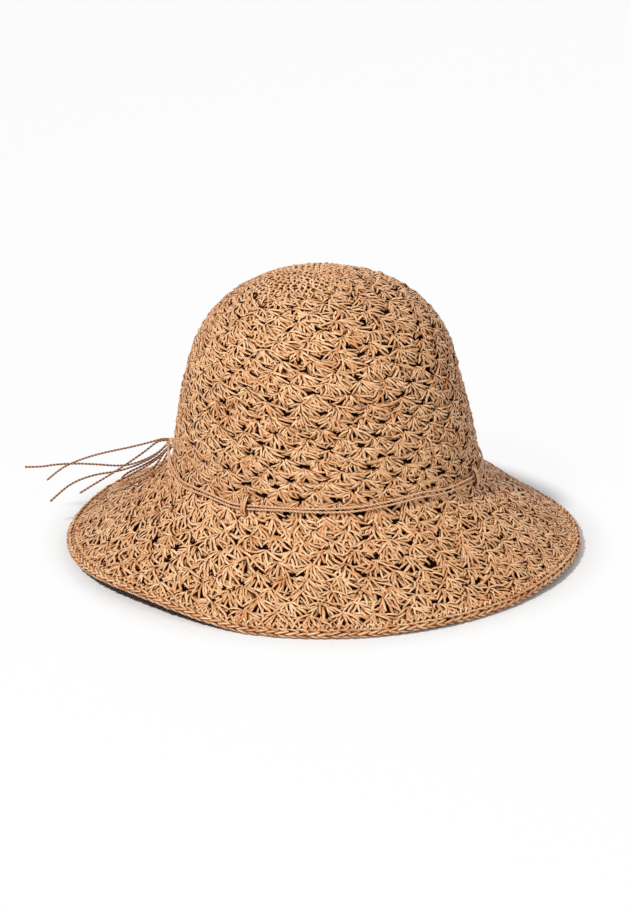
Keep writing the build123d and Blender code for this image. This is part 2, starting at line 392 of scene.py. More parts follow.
def strand_mesh(paths, normals, widths, thickness=0.95, sides=5, flat_top=False):
    """Tapered tubes along many paths at once: points, quads and strand coordinates.

    paths and normals are strands x points x 3, and widths is strands x points. A strand
    coordinate is (distance along the strand, place up its section, number of its own)."""
    count, steps = paths.shape[:2]
    tangent = np.gradient(paths, axis=1)
    tangent /= np.linalg.norm(tangent, axis=2, keepdims=True) + tiny
    side = np.cross(tangent, normals)
    side /= np.linalg.norm(side, axis=2, keepdims=True) + tiny
    up = np.cross(side, tangent)
    turn = flat_section if flat_top else pi / 2 + 2 * pi * np.arange(sides) / sides
    sides = len(turn)
    half = widths[..., None, None] / 2
    ring = (
        paths[:, :, None]
        + half * np.cos(turn)[:, None] * side[:, :, None]
        + half * thickness * np.sin(turn)[:, None] * up[:, :, None]
    )
    points = ring.reshape(-1, 3)
    first = np.arange(count)[:, None, None] * steps * sides
    quads = ring_quads(first, steps, sides).reshape(-1, 4)
    step_length = np.linalg.norm(np.diff(paths, axis=1), axis=2)
    run = np.concatenate([np.zeros((count, 1)), np.cumsum(step_length, axis=1)], axis=1)
    own = randomness.random(count)
    strand = stacked(run[..., None], np.sin(turn), own[:, None, None]).reshape(-1, 3)
    return points, quads, strand


def joined(parts):
    """Several strand meshes as one."""
    moved, start = [], 0
    for points, quads, strand in parts:
        moved.append((points, quads + start, strand))
        start += len(points)
    return [np.concatenate(group) for group in zip(*moved)]


def laid_strands(apex_distance, apex_angle, across, down, height, widths, **form):
    """Strands laid on the hat, each given across and down from its own apex."""
    distance = np.maximum(apex_distance[:, None] + down, least_distance)
    radius = np.maximum(hat_line(distance)[0], least_radius)
    distance, angle = off_centre(distance, apex_angle[:, None] + across / radius)
    paths = on_hat(distance, angle, height)
    return strand_mesh(paths, normal_on_hat(distance, angle), widths, **form)


def laid_fans(distance, angle, across, down, height, widths, **form):
    """Strands of many fans laid on the hat, from arrays of fans x strands x points."""
    strands, points = across.shape[1:]
    parts = [part.reshape(-1, points) for part in (across, down, height, widths)]
    return laid_strands(np.repeat(distance, strands), np.repeat(angle, strands), *parts, **form)


# ---- Crochet ----

def stray(spread, shape):
    """Random amounts round 0, as handwork strays from its pattern."""
    return randomness.normal(0, spread, shape)


def shell_fans(rows, near, far, width, hub, hole, points=5, inside=False):
    """Fans of lens-shaped strands: near ones that start round the apex, and far ones between
    and under them that end along a bow from one lower neighbour to the other."""
    distance, angle, spacing, pitch = rows
    fans = len(distance)
    strands = near + far
    shape = (fans, strands)
    is_far = np.arange(strands) >= near
    place = np.concatenate([(np.arange(near) + 0.5) / near, np.linspace(0, 1, far)])
    place = np.clip(place + stray(place_scatter, shape), 0, 1)
    side_on = np.cos(pi * place)
    outer = np.sign(side_on) * np.abs(side_on) ** bow_power
    arch = hump(place, power=bow_power)
    size = randomness.normal(1, size_scatter, (fans, 1))
    spacing = spacing[:, None] * size
    pitch = pitch[:, None] * size
    tip_across = (0.5 - row_shift) * spacing - outer * (0.5 * spacing - hole)
    tip_across += stray(across_scatter, shape)
    tip_down = pitch * (wing_drop + hang * arch) + stray(down_scatter, shape)
    start = np.where(is_far, far_start, hub / np.hypot(tip_across, tip_down))
    start += stray(start_scatter, shape)
    end = np.where(is_far, far_end, near_end) + stray(end_scatter, shape)
    t = np.linspace(0, 1, points)
    share = start[..., None] + (end - start)[..., None] * t
    sway = stray(strand_sway, (2, fans, strands, 1)) * np.sin(pi * t)
    turned = stray(strand_turn, (fans, strands, 1)) * (t - 0.5)
    across = tip_across[..., None] * share + sway[0] + turned
    flare = 1 - wing_flare * np.abs(side_on[..., None])
    down = tip_down[..., None] * np.maximum(share, 0) ** flare + sway[1]
    crest = hump(t, *strand_crest)
    lie = stray(lie_scatter, (fans, strands, 1)) + far_drop * is_far[None, :, None]
    height = -sunk + rise * crest + lie
    if inside:
        clear_of_ribbon = (distance < foot_start - ribbon_reach) | (distance > foot_start)
        height = -fabric - height - inner_depth * clear_of_ribbon[:, None, None]
    uneven = randomness.normal(1, width_scatter, (fans, strands, 1))
    widths = width * hump(t, *strand_lens) * uneven
    return laid_fans(
        distance, angle, across, down, height, widths,
        thickness=strand_thickness, flat_top=not inside,
    )


def filling(rows, width):
    """Short strands that lie deeper, above each apex, where the shells round it meet."""
    distance, angle, spacing, pitch = rows
    shape = (len(distance), filling_strands, 1)
    t = np.linspace(-0.5, 0.5, 4)
    middle_across = spacing[:, None, None] * stray(filling_across, shape)
    middle_down = -pitch[:, None, None] * randomness.uniform(*filling_down, shape)
    turn = stray(filling_turn, shape)
    length = randomness.uniform(*filling_lengths, shape)
    across = middle_across + length * np.cos(turn) * t
    down = middle_down + length * np.sin(turn) * t
    height = filling_depth + stray(0.00015, shape) + 0 * t
    widths = width * np.cos(pi * 0.75 * t) * randomness.normal(1, 0.10, shape)
    return laid_fans(distance, angle, across, down, height, widths, sides=4)


def shell_rows(rows, jitter=0.0007):
    """Apex distances and angles, shell widths and row pitches, from rows given as
    (distance, pitch, shells, angle of one apex in degrees)."""
    fans = []
    for distance, pitch, shells, apex in rows:
        radius = float(hat_line(distance + pitch)[0])
        spot = radians(apex) + np.arange(shells) / shells * 2 * pi
        angles = spot + stray(jitter, shells) / radius
        distances = distance + stray(jitter, shells)
        fans.append(stacked(distances, angles, 2 * pi * radius / shells, pitch))
    return np.concatenate(fans).T.copy()


def crown_rows():
    """Shell rows from the last above the cord up to the round top."""
    rows = []
    distance = foot_start - 0.0026
    pitch = first_row_pitch
    reach = brim_lattice[0][0] - distance
    apex = first_apex
    while distance > top_round_radius - 0.006:
        radius = float(hat_line(distance + reach)[0])
        shells = next(count for least, count in crown_shells if radius > least)
        rows.append((distance, reach, shells, apex))
        pitch = min(pitch + row_pitch_step, crown_row_pitch)
        distance -= pitch
        reach = pitch
        apex += row_shift * 360 / shells
    return rows


def brim_rows():
    """Shell rows from the cord down to the border."""
    ends = [row[0] for row in brim_lattice[1:]] + [border_start + 0.0006]
    return [(row[0], end - row[0], row[1], row[2]) for row, end in zip(brim_lattice, ends)]


def split_rows(fans, at):
    """Fans above and below a distance."""
    upper = fans[0] < at
    return fans[:, upper], fans[:, ~upper]


def short_stitches(first, last, pitch, stitch_width, width, inside=False, lift=0.0):
    """Rounds of single crochet: each stitch is two short slanted strands, its legs."""
    parts = []
    for number in range(round((last - first) / pitch)):
        distance = first + number * pitch
        radius = max(float(hat_line(distance + pitch / 2)[0]), 0.0025)
        stitches = max(least_stitches, round(2 * pi * radius / stitch_width))
        spot = (np.arange(stitches) + round_offset * number) / stitches * 2 * pi
        wide = 2 * pi * radius / stitches
        t = np.linspace(0, 1, 5)
        crest = hump(t, power=0.6)
        for lean_from, lean_to, top, bottom in stitch_legs:
            wobble = stray(stitch_scatter, (stitches, 4, 1))
            across = wide * (lean_from + (lean_to - lean_from) * t)
            across = across + wobble[:, 0] + wobble[:, 1] * t
            down = pitch * (top + (bottom - top) * t) + wobble[:, 2] + wobble[:, 3] * t
            lie = stray(stitch_lie_scatter, (stitches, 1))
            height = lift - sunk + rise * crest + lie
            if inside:
                height = -fabric - height
            widths = width * (0.50 + 0.50 * crest) * randomness.normal(1, 0.10, (stitches, 1))
            parts.append(laid_strands(
                np.full(stitches, distance), spot, across, down, height, widths,
                flat_top=not inside,
            ))
    return joined(parts)


def backing(first, last, depth, cell):
    """Thin sheet at a depth in the fabric, for the shade in the gaps between the strands."""
    rings = max(2, round((last - first) / cell) + 1)
    widest = float(np.max(hat_line(np.linspace(first, last, 20))[0]))
    columns = round(2 * pi * widest / cell)
    distance = np.linspace(first, last, rings)[:, None]
    angle = np.arange(columns) / columns * 2 * pi
    points = on_hat(*off_centre(distance, angle), -depth).reshape(-1, 3)
    faces = ring_quads(0, rings, columns).reshape(-1, 4)
    own = 0.5 + 0.1 * np.sin(40 * angle)
    return points, faces, stacked(distance, 1.0, own).reshape(-1, 3)


# ---- Camera ----

camera_distance = 1.97
camera_elevation = 20.1
camera_level = 0.05364
picture_height = 0.5739
aim_side = -0.0063
aim_rise = 0.0017
camera_data = bpy.data.cameras.new("camera")
camera_data.sensor_width = 36.0
camera_data.lens = camera_data.sensor_width * camera_distance / picture_height
camera = placed("camera", camera_data)
aim = Vector((aim_side, 0.0, camera_level + aim_rise))
away = Vector((0, -cos(radians(camera_elevation)), sin(radians(camera_elevation))))
aimed(camera, Vector((0, 0, camera_level)) + away * camera_distance, aim)
bpy.context.scene.camera = camera


# ---- Materials ----

def new_shader(name, roughness, specular):
    """A material, with its node tree and its shader."""
    material = bpy.data.materials.new(name)
    material.use_nodes = True
    tree = material.node_tree
    shader = tree.nodes["Principled BSDF"]
    shader.inputs["Roughness"].default_value = roughness
    shader.inputs["Specular IOR Level"].default_value = specular
    return material, tree, shader


def calculated(tree, operation, *values):
    """The output of a Math node whose inputs are numbers or other outputs."""
    node = tree.nodes.new("ShaderNodeMath")
    node.operation = operation
    for place, value in enumerate(values):
        if isinstance(value, bpy.types.NodeSocket):
            tree.links.new(value, node.inputs[place])
        else:
            node.inputs[place].default_value = value
    return node.outputs[0]


def strand_space(tree, along, across, own):
    """The strand attribute, stretched for a texture that runs along each strand."""
    strand = tree.nodes.new("ShaderNodeAttribute")
    strand.attribute_name = "strand"
    split = tree.nodes.new("ShaderNodeSeparateXYZ")
    tree.links.new(strand.outputs["Vector"], split.inputs[0])
    stretched = tree.nodes.new("ShaderNodeCombineXYZ")
    for place, (axis, scale) in enumerate(zip("XYZ", (along, across, own))):
        scaled = calculated(tree, "MULTIPLY", split.outputs[axis], scale)
        tree.links.new(scaled, stretched.inputs[place])
    return split, stretched.outputs[0]


def noise(tree, vector, scale=1.0, detail=2.0):
    """The output of a noise texture, read at a vector output."""
    texture = tree.nodes.new("ShaderNodeTexNoise")
    texture.inputs["Scale"].default_value = scale
    texture.inputs["Detail"].default_value = detail
    tree.links.new(vector, texture.inputs["Vector"])
    return texture.outputs["Fac"]


def on_object(tree):
    """The output for places on a piece, in metres."""
    return tree.nodes.new("ShaderNodeTexCoord").outputs["Object"]


def ramp(tree, value, *stops):
    """The colour output of a ramp through (position, colour) stops, read at a value output."""
    node = tree.nodes.new("ShaderNodeValToRGB")
    elements = node.color_ramp.elements
    for position, _ in stops[1:-1]:
        elements.new(position)
    for element, (position, colour) in zip(elements, stops):
        element.position = position
        element.color = (*colour, 1)
    tree.links.new(value, node.inputs["Fac"])
    return node.outputs["Color"]


def bump(tree, shader, height, strength, distance):
    """A bump of a height output on a shader."""
    node = tree.nodes.new("ShaderNodeBump")
    node.inputs["Strength"].default_value = strength
    node.inputs["Distance"].default_value = distance
    tree.links.new(height, node.inputs["Height"])
    tree.links.new(node.outputs["Normal"], shader.inputs["Normal"])


straw_roughness = 0.42
own_tone = 0.30
patch_tone = 0.35
patch_scale = 38.0
halfway_power = 0.30


def straw_material(name, pale, dark, side, crease=0.7, along=110.0, across=2.8, specular=0.35):
    """Matt paper straw, creased along each strand, with painted shade down its sides, where its
    colour is multiplied by another, and a little different from one strand to the next."""
    material, tree, shader = new_shader(name, straw_roughness, specular)
    split, stretched = strand_space(tree, along, across, 90.0)
    creases = noise(tree, stretched, detail=3.0)
    patches = noise(tree, on_object(tree), patch_scale)
    tone = calculated(tree, "MULTIPLY_ADD", split.outputs["Z"], own_tone, creases)
    tone = calculated(tree, "MULTIPLY_ADD", patches, patch_tone, tone)
    # Painted shade: down each strand's lower sides its colour is multiplied by the side colour,
    # for the shade between neighbouring strands.
    halfway = [part**halfway_power for part in side]
    side_shade_mix = tree.nodes.new("ShaderNodeMix")
    side_shade_mix.data_type = "RGBA"
    side_shade_mix.blend_type = "MULTIPLY"
    side_shade_mix.inputs["Factor"].default_value = 1.0
    tree.links.new(ramp(tree, tone, (0.52, dark), (1.0, pale)), side_shade_mix.inputs["A"])
    sides = ramp(tree, split.outputs["Y"], (0.20, side), (0.58, halfway), (0.96, (1, 1, 1)))
    tree.links.new(sides, side_shade_mix.inputs["B"])
    tree.links.new(side_shade_mix.outputs["Result"], shader.inputs["Base Color"])
    bump(tree, shader, creases, crease, 0.0005)
    return material


def ribbon_material(name, colour, ribs_per_metre):
    """Grosgrain: fine ribs across a ribbon, with a little unevenness in its dye, and painted
    shade in the hollows between the ribs.
    """
    material, tree, shader = new_shader(name, 0.75, 0.20)
    shader.inputs["Sheen Weight"].default_value = 0.15
    split, stretched = strand_space(tree, 60.0, 60.0, 1.0)
    turns = calculated(tree, "MULTIPLY", split.outputs["X"], 2 * pi * ribs_per_metre)
    ribs = calculated(tree, "SINE", turns)
    dye = noise(tree, stretched, detail=4.0)
    # The ribs also darken the colour in their hollows, as painted shade, mixed with the dye's
    # unevenness.
    tone = calculated(tree, "MULTIPLY_ADD", ribs, 0.16, dye)
    shade = [0.72 * part for part in colour]
    dye_and_rib_shade = ramp(tree, tone, (0.25, shade), (0.75, colour))
    tree.links.new(dye_and_rib_shade, shader.inputs["Base Color"])
    bump(tree, shader, ribs, 0.5, 0.0002)
    return material


def thread_material(name, colour):
    """Sewing thread, seen from close enough to show its fibres."""
    material, tree, shader = new_shader(name, 0.6, 0.30)
    fibres = noise(tree, on_object(tree), 1600.0)
    shade = [0.6 * part for part in colour]
    fibre_colour = ramp(tree, fibres, (0.0, shade), (1.0, colour))
    tree.links.new(fibre_colour, shader.inputs["Base Color"])
    bump(tree, shader, fibres, 0.4, 0.0001)
    return material


def seen_directly(tree):
    """1 where the camera, a reflection or a clear surface sees a shader, and 0 elsewhere."""
    ray = tree.nodes.new("ShaderNodeLightPath")
    seen = ray.outputs["Is Camera Ray"]
    for kind in ("Is Transmission Ray", "Is Glossy Ray"):
        seen = calculated(tree, "MAXIMUM", seen, ray.outputs[kind])
    return seen


def white_light(node, strength):
    """The output of a Background or Emission node, made white."""
    node.inputs["Color"].default_value = (1, 1, 1, 1)
    node.inputs["Strength"].default_value = strength
    return node.outputs[0]


def mixed_into(tree, share, first, second, end):
    """Links a mix of two shaders, by the share of the second, to the node that ends a tree."""
    mix = tree.nodes.new("ShaderNodeMixShader")
    for place, output in enumerate((share, first, second)):
        tree.links.new(output, mix.inputs[place])
    tree.links.new(mix.outputs[0], tree.nodes[end].inputs["Surface"])


# Each straw's third colour is painted shade, multiplied into its strands down their sides.
straw = straw_material(
    "straw", (0.99, 0.668, 0.375), (0.60, 0.238, 0.060), (0.065, 0.010, 0.0015), specular=0.42
)
straw_inside = straw_material(
    "straw_inside", (0.74, 0.44, 0.22), (0.50, 0.25, 0.10), (0.35, 0.23, 0.14)
)
# Near-black straw, painted shade: the outer backing sheets and the edging's core stand for the
# shadow in the gaps between strands and stitches.
painted_shade_straw = straw_material(
    "painted_shade_straw", (0.014, 0.006, 0.004), (0.008, 0.003, 0.002), (0.60, 0.50, 0.50), specular=0.0
)
straw_shade = straw_material(
    "straw_shade", (0.30, 0.15, 0.065), (0.16, 0.07, 0.026), (0.80, 0.80, 0.80), specular=0.1
)
cord_grain = {"along": 420.0, "across": 1.5, "crease": 0.4}
cord_straw = straw_material(
    "cord_straw", (0.92, 0.62, 0.40), (0.70, 0.42, 0.25), (0.62, 0.46, 0.36), **cord_grain
)
# A darker copy of the cord straw, painted shade, for the tie's loose tails and bow loops.
shaded_tie_straw = straw_material(
    "shaded_tie_straw", (0.56, 0.30, 0.15), (0.36, 0.17, 0.07), (0.29, 0.17, 0.10), **cord_grain
)
ribbon_weave = ribbon_material("ribbon_weave", (0.60, 0.43, 0.25), 900.0)
thread_fibre = thread_material("thread_fibre", (0.50, 0.32, 0.17))


def piece_from(name, parts, material, *nodes, body="hat", slot="straw"):
    """Finished piece from a strand mesh, riding on a body and standing for CAD nodes."""
    piece = mesh_object(name, *parts)
    piece.data.materials.append(material)
    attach(piece, body)
    if nodes:
        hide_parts(*nodes)
    return piece


# ---- Tie ----

line_levels = hat_line(np.linspace(foot_start - 0.040, slope_start, 400))


def outer_radius(level):
    """Radius of the outer surface at a height near the foot of the crown."""
    return np.interp(level, line_levels[1][::-1], line_levels[0][::-1])


knot_level = cord_height + knot_rise
knot_distance = float(outer_radius(knot_level)) + cord_clearance + knot_diameter / 2
knot_out = np.array([cos(radians(knot_angle)), sin(radians(knot_angle)), 0])
knot_along = np.array([-knot_out[1], knot_out[0], 0])
knot_up = np.array([0, 0, 1])
knot_middle = knot_out * knot_distance + knot_up * knot_level


def from_knot(points):
    """Points given in millimetres out, along and up from the knot's middle."""
    local = np.asarray(points, float) * 0.001
    return knot_middle + local @ np.stack([knot_out, knot_along, knot_up])


def across_path(path):
    """Two unit vectors square to a path at each of its points, turning as little as they can."""
    tangent = np.gradient(path, axis=0)
    tangent /= np.linalg.norm(tangent, axis=1, keepdims=True)
    first = np.cross(tangent[0], (0.1, 0.2, 1.0))
    sides = [first / np.linalg.norm(first)]
    for direction in tangent[1:]:
        side = sides[-1] - direction * np.dot(sides[-1], direction)
        sides.append(side / np.linalg.norm(side))
    sides = np.array(sides)
    return sides, np.cross(tangent, sides)


def evenly_spaced(path, step):
    """Points a step apart along a path."""
    lengths = np.linalg.norm(np.diff(path, axis=0), axis=1)
    run = np.concatenate([[0], np.cumsum(lengths)])
    marks = np.linspace(0, run[-1], max(8, round(run[-1] / step) + 1))
    return np.stack([np.interp(marks, run, path[:, axis]) for axis in range(3)], axis=1), marks


def twisted(path, start=0.0, end_fray=0.0):
    """Two plies twisted round each other along a path, with plies that widen at its end."""
    path, run = evenly_spaced(path, cord_lay_length / 8)
    side, up = across_path(path)
    turn = start + 2 * pi * run / cord_lay_length + np.array([[0], [pi]])
    outwards = np.cos(turn)[..., None] * side + np.sin(turn)[..., None] * up
    paths = path + outwards * cord_diameter * ply_offset
    fray = 1 + end_fray * np.exp(-(run[-1] - run) / cord_fray_length)
    widths = np.broadcast_to(cord_diameter * ply_width * fray, turn.shape)
    return strand_mesh(paths, outwards, widths, thickness=ply_thickness, sides=6)


def cord_line(points):
    """Line of the smooth curve that a loose cord follows."""
    data = bpy.data.curves.new("route", "CURVE")
    data.dimensions = "3D"
    spline = data.splines.new("NURBS")
    spline.points.add(len(points) - 1)
    for knot_point, place in zip(spline.points, points):
        knot_point.co = (*place, 1)
    spline.order_u = 3
    spline.use_endpoint_u = True
    spline.resolution_u = 12
    holder = bpy.data.objects.new("route", data)
    mesh = bpy.data.meshes.new_from_object(holder)
    line = np.array([vertex.co[:] for vertex in mesh.vertices])
    bpy.data.meshes.remove(mesh)
    bpy.data.objects.remove(holder)
    bpy.data.curves.remove(data)
    return line


# Control points of the loose cords, in millimetres out from the knot, along it and up.
loose_cords = {
    "tie_tail_long": [
        (1.1, -1.5, 2.1), (5.4, 0.2, 2.8), (11.1, 0.4, 0.6), (18.9, 0.4, -2.1),
        (28.1, 0.3, -5.1), (42.6, -0.4, -9.4), (55.1, -0.5, -13.7), (68.6, -1.2, -20.0),
        (77.4, -2.9, -26.4), (84.3, -3.7, -33.1),
    ],
    "tie_tail_short": [
        (1.1, 1.2, 2.1), (4.8, 3.2, 2.8), (8.9, 5.2, 1.5), (13.7, 7.3, -2.7),
        (20.0, 9.6, -7.5), (28.9, 13.1, -13.7), (38.5, 17.0, -19.9), (46.8, 20.0, -24.9),
        (54.7, 22.7, -30.1),
    ],
    "tie_tail_straight": [
        (2.1, -2.2, 0.0), (5.3, -1.1, -4.2), (11.3, 0.5, -8.9), (18.4, 1.7, -12.6),
        (26.6, 2.5, -15.9), (35.4, 3.4, -17.1), (48.6, 4.9, -16.4), (62.7, 6.7, -16.3),
        (75.5, 8.3, -17.5), (84.9, 9.4, -19.6), (94.2, 10.7, -19.7),
    ],
    "tie_tail_drooping": [
        (2.1, 0.0, 0.0), (5.3, 1.9, -3.8), (9.8, 3.7, -8.1), (16.0, 5.4, -11.8),
        (24.2, 7.0, -15.6), (34.2, 9.0, -18.9), (44.6, 11.4, -20.2), (54.3, 13.6, -23.0),
        (62.7, 15.3, -27.1), (69.6, 16.5, -32.9), (75.9, 18.0, -39.2),
    ],
    "bow_loop_outer": [
        (1.2, -2.4, -2.1), (5.1, -0.4, -6.5), (10.3, 1.5, -10.9), (16.4, 3.6, -14.5),
        (22.2, 5.8, -17.2), (27.1, 7.8, -19.6), (30.0, 10.9, -21.6), (29.6, 14.5, -23.3),
        (25.9, 16.3, -23.8), (21.0, 16.2, -23.0), (14.8, 15.6, -20.3), (9.1, 14.3, -16.7),
        (4.7, 12.2, -12.1), (2.3, 9.1, -7.7), (0.9, 5.7, -4.6), (-0.5, 2.6, -2.1),
    ],
    "bow_loop_inner": [
        (1.2, -0.5, -2.1), (4.9, 1.8, -6.8), (10.0, 3.8, -11.5), (15.5, 5.7, -15.1),
        (20.3, 7.3, -17.7), (23.8, 8.8, -19.6), (26.2, 10.8, -20.7), (26.0, 13.3, -21.3),
        (23.1, 14.3, -21.1), (18.9, 14.0, -19.8), (13.9, 13.2, -17.3), (9.5, 12.1, -13.9),
        (6.2, 9.9, -9.8), (4.1, 6.6, -6.1), (2.5, 3.8, -3.9), (0.3, 1.0, -2.4),
    ],
}
for node, points in loose_cords.items():
    line = cord_line(from_knot(points))
    is_tail = node.startswith("tie_tail")
    # The loose cords take the darker cord straw, painted shade.
    loose = piece_from(
        node + "_cord", twisted(line, end_fray=tail_fray if is_tail else 0.0), shaded_tie_straw,
        node, body="tie_bow", slot="cord",
    )

# The knot: close turns of cord round the ones it ties, and one that crosses over them.
wrap_radius = knot_diameter / 2 - cord_diameter * 0.46
wrap_turns = 3.6
wrap_start = 0.6
wrap_spread = 0.0052
over_lift = 0.0003
over_sway = 0.0019
over_start = 0.9


def round_knot(radius, angle, along):
    """Points round the knot's own line, at places along it."""
    return (
        knot_middle
        + radius * np.cos(angle)[:, None] * knot_out
        + radius * np.sin(angle)[:, None] * knot_up
        + along[:, None] * knot_along
    )


turning = np.linspace(0, 1, 90)
wrap_angle = 2 * pi * wrap_turns * turning + wrap_start
wraps = round_knot(wrap_radius, wrap_angle, wrap_spread * (turning - 0.5))
over_angle = 2 * pi * turning
over_along = over_sway * np.cos(over_angle + over_start)
over = round_knot(wrap_radius + over_lift, over_angle, over_along)
piece_from(
    "tie_knot_wraps", joined([twisted(wraps), twisted(over)]), cord_straw, "tie_knot",
    body="tie_bow", slot="cord",
)

# The doubled cord round the crown rides up and down a little, as (degrees, metres off level).
band_wave = [
    (-168, 0.0004), (-153, -0.0013), (-142, 0.0002), (-134, 0.0002), (-124, -0.0015),
    (-116, 0.0000), (-105, 0.0014), (-88, 0.0016), (-79, 0.0018), (-66, 0.0034),
    (-54, 0.0046), (-42, 0.0020), (-30, 0.0008), (-22, -0.0006), (-15, -0.0006),
    (-6, 0.0002), (20, -0.0004), (55, 0.0010), (85, -0.0004), (115, 0.0008), (150, 0.0004),
]
wave_fade_span = 12
band_points = 900

# The two cords part and close again along their way, in a slow wave and a fast one.
slow_part = 0.0004
fast_part = 0.0002
cord_draw = 0.0002


def band_height(angle):
    """Height of the doubled cord's middle above its level ring, at angles in degrees."""
    fine = np.arange(-180, 180, 1.0)
    places, levels = np.array(band_wave).T
    waved = np.interp(fine, places, levels, period=360)
    window = np.hanning(11)
    padded = np.concatenate([waved[-5:], waved, waved[:5]])
    smooth = np.convolve(padded, window / window.sum(), "valid")
    return np.interp(angle, fine, smooth, period=360)


def band_path(side):
    """Path of the upper (side 1) or lower (side -1) cord from one end of the knot to the other."""
    end_angle = np.degrees((knot_length / 2 + knot_gap) / knot_distance)
    turn = np.linspace(end_angle, 360 - end_angle, band_points)
    away_from_knot = np.minimum(turn, 360 - turn) - end_angle
    rise = knot_rise * (1 - smooth_step(away_from_knot / knot_rise_span))
    lean = 1 - smooth_step(away_from_knot / knot_lean_span)
    part = slow_part * np.sin(np.radians(turn * 3 + 20))
    part += fast_part * np.sin(np.radians(turn * 11))
    spacing = cord_diameter + cord_gap + (cord_gap_at_knot - cord_gap) * lean
    spacing += (part - cord_draw) * (1 - lean)
    wave = band_height(knot_angle + turn) * smooth_step(away_from_knot / wave_fade_span)
    level = cord_height + rise + wave + side * spacing / 2
    snug = outer_radius(level) + cord_clearance + cord_diameter / 2
    radius = snug + (knot_distance - snug) * lean
    return round_axis(radius, np.radians(knot_angle + turn), level)


for node, side in (("band_cord_upper", 1), ("band_cord_lower", -1)):
    piece_from(
        node + "_cord", twisted(band_path(side), start=side), cord_straw, node,
        body="tie_band", slot="cord",
    )


# ---- Crocheted pieces ----

def belt_loop(angle):
    """Thin crocheted strap over the doubled cord: three strands with a curl at each end."""
    t = np.linspace(0, 1, 22)
    level = loop_top + (loop_bottom - loop_top) * smooth_step(t)
    foot = outer_radius(level)
    lifted = hump(np.clip(t * 1.08 - 0.04, 0, 1), power=0.42)
    radius = foot - loop_sink + loop_standoff * lifted
    side = np.array([[-1], [0], [1]])
    heading = radians(angle) + side * loop_strand_spacing / crown_base_radius
    heading = heading + loop_sway * np.sin(2 * pi * t + side)
    widths = np.broadcast_to(loop_strand_width * (0.80 + 0.20 * hump(t)), heading.shape)
    paths, normals = round_axis(radius, heading, level), round_axis(1, heading, 0.35 * (0.5 - t))
    straps = strand_mesh(paths, normals, widths, sides=6)
    parts = [straps]
    for level, size in loop_curls:
        spin = np.linspace(0, 2 * pi * 0.9, 18)
        swing = radians(angle) + size * np.cos(spin) / crown_base_radius
        height = level + size * loop_curl_squash * np.sin(spin)
        out = outer_radius(height) + loop_curl_lift + loop_curl_rise * np.sin(spin / 2)
        path, normal = round_axis(out, swing, height), round_axis(1, swing, 0)
        curl_widths = np.full((1, len(path)), loop_curl_width)
        parts.append(strand_mesh(path[None], normal[None], curl_widths, sides=6))
    return joined(parts)


for node, angle in loop_angles.items():
    piece_from(node + "_straps", belt_loop(angle), straw, node)

crown_fans = shell_rows(crown_rows())
brim_fans = shell_rows(brim_rows(), jitter=0.0008)
upper_crown, lower_crown = split_rows(crown_fans, crown_split)
upper_brim, lower_brim = split_rows(brim_fans, brim_split)


def outer_fans(name, fans, strands, width, hub, filling_width, *nodes):
    """Piece of shell fans on the outside of the fabric."""
    parts = [shell_fans(fans, *strands, width, *hub), filling(fans, filling_width)]
    piece_from(name, joined(parts), straw, *nodes)


crown_form = (crown_strands, crown_strand_width, crown_hub, crown_filling_width)
brim_form = (brim_strands, brim_strand_width, brim_hub, brim_filling_width)
outer_fans("crown_upper_shells", upper_crown, *crown_form, "crown_side")
outer_fans("crown_lower_shells", lower_crown, *crown_form)
outer_fans("brim_upper_shells", upper_brim, *brim_form, "brim")
outer_fans("brim_lower_shells", lower_brim, *brim_form)
for name, fans in (("crown_inner_shells", crown_fans), ("brim_inner_shells", brim_fans)):
    inner = shell_fans(fans, *inner_strands, inner_strand_width, *brim_hub, points=4, inside=True)
    piece_from(name, inner, straw_inside)

top_rounds = (hole_radius, top_round_radius, top_round_pitch, top_stitch_width)
piece_from(
    "crown_top_stitches",
    joined([
        short_stitches(*top_rounds, top_strand_width, lift=top_lift),
        short_stitches(*top_rounds, top_inside_width, inside=True),
    ]),
    straw, "crown_tip",
)
crown_reach = (hole_radius / 2, foot_start + 0.0045)
brim_reach = (crown_reach[1], border_end + 0.0010)
# The backing sheets are painted shade: near-black under the outer strands, mid-brown under the
# inner ones.
for name, reach, depth, cell, material in (
    ("crown_backing", crown_reach, backing_depth, crown_backing_cell, painted_shade_straw),
    ("brim_backing", brim_reach, backing_depth, brim_backing_cell, painted_shade_straw),
    ("crown_inner_backing", crown_reach, inner_backing_depth, inner_backing_cell, straw_shade),
    ("brim_inner_backing", brim_reach, inner_backing_depth, inner_backing_cell, straw_shade),
):
    piece_from(name, backing(*reach, depth, cell), material)
piece_from(
    "brim_border_stitches",
    joined([
        short_stitches(
            border_start + 0.0006, border_end + 0.0016, *border_outside, lift=border_lift
        ),
        short_stitches(border_start - 0.0010, border_end + 0.0010, *border_inside, inside=True),
    ]),
    straw, "brim_border",
)


# Edging: a rolled round of crochet, with a braid of chain stitches along its top.

edging_ring = float(hat_line(edging_distance)[0] - fabric / 2 * sin(brim_tilt))

# Its lines of stitches, as (middle, spread, link length, width, depth). The first two are degrees
# round its thickness: 0 faces outwards and 90 up.
edging_chain = (52, 36, 0.0060, 0.0023, -0.0004)
edging_ropes = [
    (-4, 30, 0.0060, 0.0026, -0.0005), (-52, 22, 0.0052, 0.0018, -0.0010),
    (118, 26, 0.0046, 0.0021, -0.0006), (190, 30, 0.0046, 0.0020, -0.0009),
]
edging_tilt_scatter = 4.0


def on_edging(run, tilt, lift):
    """Points a run round the edging, a tilt in degrees round its thickness and a lift off it."""
    thick = edging_radius + lift
    radius = edging_ring + thick * np.cos(np.radians(tilt))
    level = edging_height + thick * np.sin(np.radians(tilt))
    return shaped(round_axis(radius, run / edging_ring, level))


def off_edging(run, tilt):
    """Outward normals of the edging."""
    return round_axis(np.cos(np.radians(tilt)), run / edging_ring, np.sin(np.radians(tilt)))


